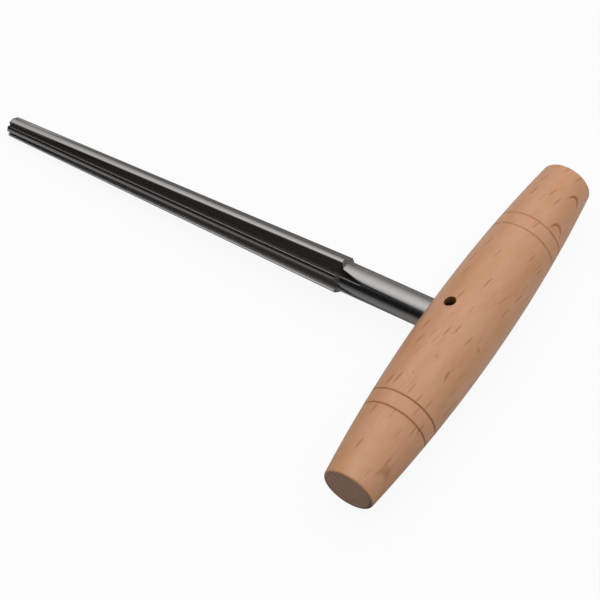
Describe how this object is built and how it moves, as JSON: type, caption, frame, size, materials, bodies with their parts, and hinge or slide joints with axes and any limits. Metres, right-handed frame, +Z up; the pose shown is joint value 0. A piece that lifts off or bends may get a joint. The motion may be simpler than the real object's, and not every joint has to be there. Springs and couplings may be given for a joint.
{
  "type": "peg reamer",
  "caption": "Peg reamer: a tapered, straight-fluted steel cutter whose round shank is cross-pinned into a barrel-shaped turned wooden T-handle with scored rings.",
  "frame": {"origin": "where the axis of the handle and the axis of the cutter cross, in the middle of the grip", "axes": "+X along the cutter from the handle to the tip, Y along the handle, +Z up along the cross pin when the tool lies on a bench"},
  "size_m": [0.1616, 0.111, 0.0212],
  "materials": {
    "turned_beech": "sanded, thin oil",
    "ground_steel": "ground",
    "pin_steel": "plain drawn wire"
  },
  "bodies": {
    "root": {"handle": "turned_beech", "cutter": "ground_steel", "cross_pin": "pin_steel"}
  },
  "joints": []
}
